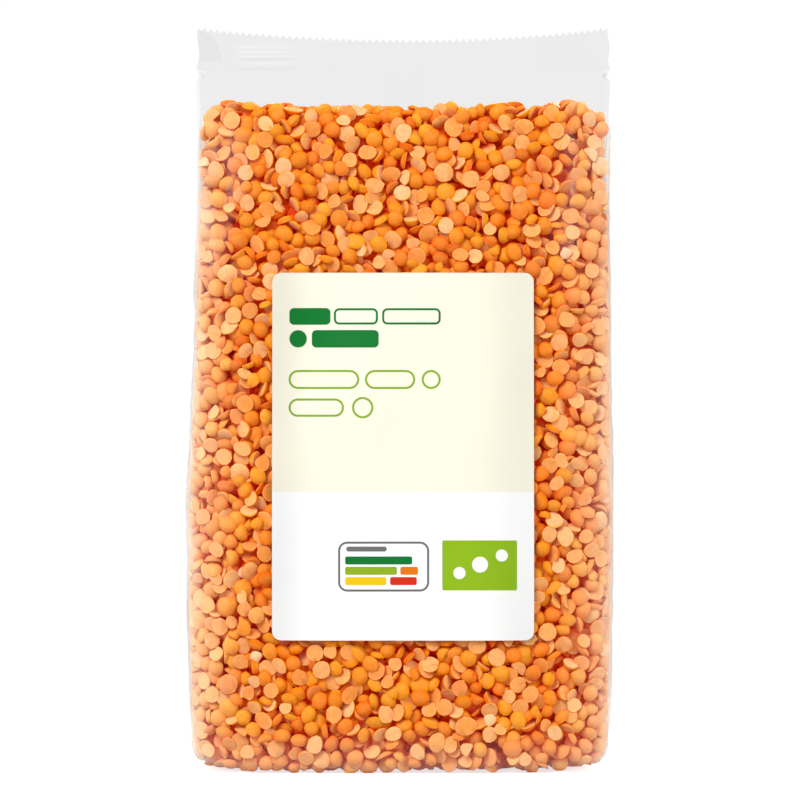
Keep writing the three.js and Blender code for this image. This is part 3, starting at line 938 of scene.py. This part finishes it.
def leaningTurns(draw, outward, count):
    # Rotations that lay one lentil more or less flat against the film, either side out
    flatShare, flatSpread, tiltedShare, steepest = pour["leaning"]
    pick = draw.random()
    if pick < flatShare:
        lean = abs(draw.normal(0, flatSpread))
    else:
        lean = draw.uniform(flatSpread, steepest) if pick < tiltedShare else draw.uniform(steepest, 90)
    tilt = np.radians(lean + draw.normal(0, pour["leanJitter"], count))
    if abs(outward[2]) < pour["levelFrom"]:
        outward = outward * (1, 1, pour["upright"])  # those along the rounded foot stand up too
    outward = outward + (0, pour["towardsFront"] * np.sign(outward[1]) * (1 - abs(outward[2])), 0)
    outward = outward / np.linalg.norm(outward)
    helper = np.array([1.0, 0, 0]) if abs(outward[2]) > 0.9 else np.array([0, 0, 1.0])
    right = np.cross(helper, outward)
    right /= np.linalg.norm(right)
    up = np.cross(outward, right)
    towards = draw.uniform(0, 2 * math.pi, count)
    lean = np.cos(towards)[:, None] * right + np.sin(towards)[:, None] * up
    axis = np.cos(tilt)[:, None] * outward + np.sin(tilt)[:, None] * lean
    axis *= 1 if draw.random() < 0.5 else -1
    spin = draw.uniform(0, 2 * math.pi, count)
    first = np.cross(axis, np.where(np.abs(axis[:, [0]]) < 0.9, [[1.0, 0, 0]], [[0, 1.0, 0]]))
    first /= np.linalg.norm(first, axis=1, keepdims=True)
    second = np.cross(axis, first)
    c, s = np.cos(spin)[:, None], np.sin(spin)[:, None]
    return np.stack([c * first + s * second, c * second - s * first, axis], axis=2)


def pourLentils():
    draw = np.random.default_rng(pour["seed"])
    low, taken = makeCrate()
    shape = taken.shape
    taken = taken.ravel()
    places, outward = makeSeeds(draw)
    names = list(lentilKinds)
    shares = np.array([lentilKinds[n]["share"] for n in names])
    chosen = draw.choice(len(names), len(places), p=shares / shares.sum())
    samples = [lentilSamples(lentilKinds[n]) for n in names]
    steps = np.arange(0, pour["deepest"], pour["step"])
    strides = np.array([shape[1] * shape[2], shape[2], 1])
    settled = {n: [] for n in names}
    count = pour["candidates"]
    for place, normal, k in zip(places, outward, chosen):
        turns = leaningTurns(draw, normal, count)
        stretch = np.append(draw.normal(1, pour["sizeSpread"], 2), draw.normal(1, pour["thickSpread"]))
        stretch = np.clip(stretch, *pour["stretchLimits"])
        body = np.einsum("kij,nj->kni", turns, samples[k] * stretch)
        jitter = draw.uniform(-1, 1, (count, 3)) * pour["seedJitter"]
        jitter -= (jitter @ normal)[:, None] * normal
        reach = (body @ normal).max(axis=1)
        start = place + jitter - normal * reach[:, None]
        cells = ((start[:, None] + body - low) / pour["voxel"]).astype(np.int64) @ strides
        shifts = np.round(-normal * steps[:, None] / pour["voxel"]).astype(np.int64) @ strides
        clashes = taken[cells[:, None, :] + shifts[None, :, None]].mean(axis=2)
        free = clashes <= (pour["overlap"] if place[2] > pour["footHeight"] else pour["footOverlap"])
        if not free.any():
            continue
        gap = np.where(free.any(axis=1), free.argmax(axis=1), 999)
        best = int(gap.argmin())
        taken[cells[best] + shifts[gap[best]]] = 1
        centre = start[best] - normal * steps[gap[best]]
        settled[names[k]].append((centre, turns[best], stretch))
    return settled


def makeScatterTree():
    # Puts a copy of one lentil on every point, turned and stretched as the point says
    tree = bpy.data.node_groups.new("scatterLentils", "GeometryNodeTree")
    sockets = [("Geometry", "Geometry"), ("Lentil", "Object"), ("Size", "Float"), ("Tone seed", "Int"),
               ("Finish", "Material")]
    for name, kind in sockets:
        tree.interface.new_socket(name, in_out="INPUT", socket_type="NodeSocket" + kind)
    tree.interface.new_socket("Geometry", in_out="OUTPUT", socket_type="NodeSocketGeometry")
    source, out = addNode(tree, "NodeGroupInput"), addNode(tree, "NodeGroupOutput")
    given = source.outputs
    tone = addNode(tree, "FunctionNodeRandomValue", {"Seed": given["Tone seed"]}, data_type="FLOAT")
    toned = addNode(tree, "GeometryNodeStoreNamedAttribute", {
        "Geometry": given["Geometry"], "Name": "tone", "Value": tone.outputs[1]}, data_type="FLOAT")
    named = "GeometryNodeInputNamedAttribute"
    turn, stretch = (addNode(tree, named, {"Name": name}, data_type="FLOAT_VECTOR").outputs["Attribute"]
                     for name in ("turn", "stretch"))
    turned = addNode(tree, "FunctionNodeEulerToRotation", {"Euler": turn})
    sized = addNode(tree, "ShaderNodeVectorMath", {0: stretch, "Scale": given["Size"]}, operation="SCALE")
    lentil = addNode(tree, "GeometryNodeObjectInfo", {"Object": given["Lentil"]}, transform_space="ORIGINAL")
    copies = addNode(tree, "GeometryNodeInstanceOnPoints", {
        "Points": toned.outputs["Geometry"], "Instance": lentil.outputs["Geometry"],
        "Rotation": turned.outputs["Rotation"], "Scale": sized.outputs[0]})
    real = addNode(tree, "GeometryNodeRealizeInstances", {"Geometry": copies.outputs["Instances"]})
    finished = addNode(tree, "GeometryNodeSetMaterial", {
        "Geometry": real.outputs["Geometry"], "Material": given["Finish"]})
    link(tree, finished.outputs["Geometry"], out.inputs["Geometry"])
    return tree


def eulerOf(turns):
    # XYZ angles of rotation matrices
    aboutX = np.arctan2(turns[:, 2, 1], turns[:, 2, 2])
    aboutY = -np.arcsin(np.clip(turns[:, 2, 0], -1, 1))
    return np.column_stack([aboutX, aboutY, np.arctan2(turns[:, 1, 0], turns[:, 0, 0])])


def setInputs(modifier, values):
    for item in modifier.node_group.interface.items_tree:
        if item.item_type == "SOCKET" and item.in_out == "INPUT" and item.name in values:
            modifier[item.identifier] = values[item.name]


def depthBelowFilm(points):
    # How far points are from the film or from the top of the heap
    x, y, z = points.T
    x = x - leanAt(z)
    front = np.abs(wallAt(x, z, -np.sign(y))) - np.abs(y)
    forward = np.clip(np.abs(y) / halfDepth(z), 0, 1)
    power = squareness(z)
    folded = halfWidth(z) - tuck(z) * (1 - forward) ** bag["tuckSharpness"]
    reach = (1 - forward ** power) ** (1 / power) * folded
    top = fillHeight(x, y) - z
    return np.minimum(np.minimum(front, reach - np.abs(x)), np.minimum(top, z))


def heldInside(points):
    # Moves what would come through the film back inside it, as the film presses the lentils flat
    x, y, z = points.T
    shift = leanAt(z)
    x = x - shift
    gap = pour["filmGap"] + pour["roofGap"] * smoothstep(z, *pour["roofFrom"])
    z = np.maximum(z, footLift(x, z) + pour["floorGap"])
    heights = np.arange(0, bag["sealFoot"], 1.5)
    stretch = [sideReach(h, 0) / (halfWidth(h) - footInset(h) - tuck(h)) for h in heights]
    wide = (halfWidth(z) - footInset(z)) * np.interp(z, heights, stretch) - gap
    facing = np.clip(np.abs(y) / (halfDepth(z) / 2), 0, 1)
    deep = halfDepth(z) - footInset(z) * bag["footDepthShare"] + lumps(x, z, -np.sign(y)) * facing - gap
    power = squareness(z)
    for _ in range(2):
        across, forward = np.abs(x) / wide, np.abs(y) / deep
        out = np.maximum((across ** power + forward ** power) ** (1 / power), 0.01)
        pushX, pushY = (across / out) ** (power - 1) / wide, (forward / out) ** (power - 1) / deep
        push = np.clip(out - 1, 0, None) / (pushX ** 2 + pushY ** 2)
        x = x - np.sign(x) * push * pushX
        y = y - np.sign(y) * push * pushY
    forward = np.clip(np.abs(y) / deep, 0, 1)
    drawnIn = tuck(z) / wide * (1 - forward) ** bag["tuckSharpness"]
    folded = wide * (1 - forward ** power) ** (1 / power) * (1 - drawnIn)
    x = np.where(forward < 0.7, np.clip(x, -folded, folded), x)
    return np.column_stack([x + shift, y, z])


def makeLentils(finishes):
    tree = makeScatterTree()
    total = 0
    for number, (name, spots) in enumerate(pourLentils().items()):
        kind = lentilKinds[name]
        centres, turns, stretches = (np.array([s[k] for s in spots]) for k in range(3))
        cloud = pieceFrom("lentils_" + name, centres, [])
        storeVectors(cloud, "turn", eulerOf(turns))
        storeVectors(cloud, "stretch", stretches)
        shape = makeLentil(name, kind)
        scatter = cloud.modifiers.new("scatter", "NODES")
        scatter.node_group = tree
        finish = "pale" if "pale" in kind else "creased" if "creased" in kind else "plain"
        setInputs(scatter, {"Lentil": shape, "Size": 1.0, "Tone seed": number, "Finish": finishes[finish]})
        graph = bpy.context.evaluated_depsgraph_get()
        settled = cloud.evaluated_get(graph)
        made = bpy.data.meshes.new_from_object(settled, preserve_all_data_layers=True, depsgraph=graph)
        cloud.modifiers.clear()
        cloud.data = made
        points = np.empty(len(made.vertices) * 3)
        made.vertices.foreach_get("co", points)
        points = heldInside(points.reshape(-1, 3) / mm)
        made.vertices.foreach_set("co", (points * mm).ravel())
        storeValues(cloud, "depth", depthBelowFilm(points))
        bpy.data.objects.remove(shape)
        finishPiece(cloud, None, "bag")
        total += len(spots)
    print("lentils in all:", total)


# The mass of lentils behind those that show, dark red as painted shade
core = {
    "inset": 5.2, "foot": 5.5, "belowFill": 5.0, "halfColumns": 70, "rows": 70, "bump": 0.7, "bumpSize": 5.5,
}


def makeCore(material):
    rows = np.linspace(core["foot"], pour["fillMiddle"] - core["belowFill"], core["rows"])
    grid = np.array([ring(z, core["halfColumns"], core["inset"]) for z in rows])
    outward = outwardOf(grid)
    bumps = core["bump"] * softNoise(grid[..., 0], grid[..., 1], grid[..., 2], core["bumpSize"], 17)
    grid = grid + outward * bumps[..., None]
    piece = pieceFrom("lentil_core", grid.reshape(-1, 3), tubeFaces(*grid.shape[:2]))
    finishPiece(piece, material, "bag")


# Label: a cream field over a white one
label = {
    "middleX": 0.8, "middleZ": 83.6, "width": 68.8, "height": 96.6, "corner": 2.4, "whiteHeight": 39.0,
    "lift": 0.5, "thick": 0.16, "step": 1.5,
}


def spans(half, corner, step):
    # Positions along one side of a rounded patch: fine in the corners, even between
    straight = half - corner
    turns = np.sin(np.linspace(0, math.pi / 2, 7)[1:])
    count = max(int(2 * straight / step), 1) + 1
    middle = np.linspace(-straight, straight, count) if straight > 1e-6 else np.zeros(1)
    edge = straight + corner * turns
    return np.concatenate([-edge[::-1], middle, edge])


def patchGrid(width, height, corner, step):
    u, v = np.meshgrid(spans(width / 2, corner, step), spans(height / 2, corner, step))
    beyondU = np.clip(np.abs(u) - (width / 2 - corner), 0, corner)
    inner = height / 2 - corner
    beyondV = np.clip(np.abs(v) - inner, 0, corner)
    room = np.sqrt(np.clip(corner ** 2 - beyondU ** 2, 0, None))
    v = np.sign(v) * (np.minimum(np.abs(v), inner) + beyondV / corner * room)
    return u, v


def onLabel(u, v, lift):
    # From the label's own millimetres, right and up from its middle, to the bag
    x, z = label["middleX"] + u, label["middleZ"] + v
    return np.stack([x, wallAt(x, z, 1) - label["lift"] - lift, z], axis=-1)


def makeLabel(cream, white):
    u, v = patchGrid(label["width"], label["height"], label["corner"], label["step"])
    border = -label["height"] / 2 + label["whiteHeight"]
    row = np.abs(v[:, v.shape[1] // 2] - border).argmin()
    v[row] = border
    sheet = [onLabel(u, v, lift) for lift in (label["thick"], 0)]
    piece = platesFrom("label_sheet", [(*sheet, 0)], leans=False)
    for material in (cream, white):
        piece.data.materials.append(material)
    for face in piece.data.polygons:
        face.material_index = int(face.center.z < (label["middleZ"] + border) * mm)
    finishPiece(piece, None, "label")


# Print: plain bars, discs and outlines, in millimetres right and up from the label's middle
printed = {
    "inkThick": 0.03, "step": 2.0, "lineWidth": 0.55,
    # colour: red, green, blue, then shapes as (u, v, width, height, corner)
    "print_title": [((0.0015, 0.14, 0.02), [(-24.5, 36.8, 10.8, 4.4, 1.2), (-27.6, 30.9, 4.6, 4.6, 2.3),
                                              (-15.2, 30.9, 17.6, 4.6, 1.2)])],
    "print_card": [((0.204, 0.36, 0.007), [(20.1, -28.6, 19.6, 13.1, 0.4)])],
    "print_dots": [((0.72, 0.73, 0.70), [(14.8, -30.6, 3.2, 3.2, 1.6), (20.2, -28.4, 4.2, 4.2, 2.1),
                                         (25.9, -26.0, 3.2, 3.2, 1.6)])],
    "print_bars": [((0.115, 0.12, 0.125), [(-9.6, -24.3, 10.6, 1.3, 0.6)]),
                   ((0.0015, 0.135, 0.022), [(-6.4, -27.3, 17.6, 2.1, 0.5)]),
                   ((0.205, 0.325, 0.011), [(-8.4, -30.0, 13.6, 2.1, 0.5)]),
                   ((0.66, 0.43, 0.003), [(-9.8, -32.7, 10.8, 2.1, 0.5)]),
                   ((0.59, 0.14, 0.003), [(1.6, -30.0, 4.6, 2.1, 0.5)]),
                   ((0.51, 0.02, 0.004), [(0.1, -32.7, 7.0, 2.1, 0.5)])],
}
outlined = {
    "print_line": ((0.0015, 0.14, 0.02), [(-12.4, 36.8, 11.6, 4.3, 1.4), (2.2, 36.8, 15.4, 4.3, 1.4)]),
    "print_name": ((0.19, 0.325, 0.015), [(-20.8, 20.2, 18.6, 5.0, 2.5), (-3.4, 20.2, 13.2, 5.0, 2.5),
                                          (7.4, 20.2, 5.0, 5.0, 2.5), (-22.8, 12.8, 14.6, 4.8, 2.4),
                                          (-10.6, 12.8, 5.6, 5.6, 2.8)]),
    "print_frame": ((0.115, 0.12, 0.125), [(-5.1, -28.9, 23.9, 13.1, 2.4)]),
}


def printPatches():
    for name in ("print_title", "print_card", "print_dots", "print_bars"):
        sheets, inks = [], []
        raised = label["thick"] + printed["inkThick"] * (2 if name == "print_dots" else 1)
        lifts = (raised, raised - printed["inkThick"])
        for number, (colour, shapes) in enumerate(printed[name]):
            inks.append(paperFinish(name + "_ink" + str(number), colour))
            for u, v, width, height, corner in shapes:
                across, up = patchGrid(width, height, corner, printed["step"])
                sheets.append((*(onLabel(across + u, up + v, lift) for lift in lifts), number))
        piece = platesFrom(name, sheets, leans=False)
        for ink in inks:
            piece.data.materials.append(ink)
        finishPiece(piece, None, "label")


def ringStrip(u, v, width, height, corner, lift, foot):
    # A thin outline as a closed strip: outer edge, inner edge, then the same again underneath
    def edge(inset):
        w, h, c = width / 2 - inset, height / 2 - inset, max(corner - inset, 0.05)
        turn = np.linspace(0, math.pi / 2, 9)
        points = []
        for quarter, (sx, sy) in enumerate(((1, 1), (-1, 1), (-1, -1), (1, -1))):
            angle = turn + quarter * math.pi / 2
            middle = (sx * (w - c), sy * (h - c))
            points += [(middle[0] + c * math.cos(a), middle[1] + c * math.sin(a)) for a in angle]
        loop = np.array(points)
        between = np.roll(loop, -1, axis=0)
        return np.concatenate([lerp(a, b, np.linspace(0, 1, 6, endpoint=False)[:, None])
                               for a, b in zip(loop, between)])
    outer, inner = edge(0), edge(printed["lineWidth"])
    return [onLabel(e[:, 0] + u, e[:, 1] + v, height) for height in (lift, foot) for e in (outer, inner)]


def printOutlines():
    for name, (colour, shapes) in outlined.items():
        points, faces = [], []
        foot = label["thick"]
        for shape in shapes:
            loops = ringStrip(*shape, foot + printed["inkThick"], foot)
            count = len(loops[0])
            start = sum(len(p) for p in points)
            for i in range(count):
                j = (i + 1) % count
                a, b, c, d = (start + k * count for k in range(4))
                faces += [(a + i, a + j, b + j, b + i), (c + j, c + i, d + i, d + j),
                          (c + i, c + j, a + j, a + i), (b + i, b + j, d + j, d + i)]
            points += loops
        piece = pieceFrom(name, np.concatenate(points), faces, smooth=False, leans=False)
        finishPiece(piece, paperFinish(name + "_ink", colour), "label")


makeFilm(filmFinish("clearFilm", 0.912, panels=True))
makeSeal(filmFinish("sealFilm", 0.912, streaks=0.024), filmFinish("gussetFilm", 0.997))
makeCornerFold(filmFinish("foldFilm", 0.975))
makeBackLap(filmFinish("lapFilm", 0.998, haze=0.1))
print("film, seal and back lap are made")
makeLentils({"plain": lentilFinish("lentilPlain"), "creased": lentilFinish("lentilCreased", creased=True),
             "pale": lentilFinish("lentilPale", pale=0.6)})
makeCore(coreFinish())
makeLabel(paperFinish("labelCream", (0.70, 0.675, 0.56)), paperFinish("labelWhite", (0.73, 0.73, 0.729)))
printPatches()
printOutlines()
print("label is made")
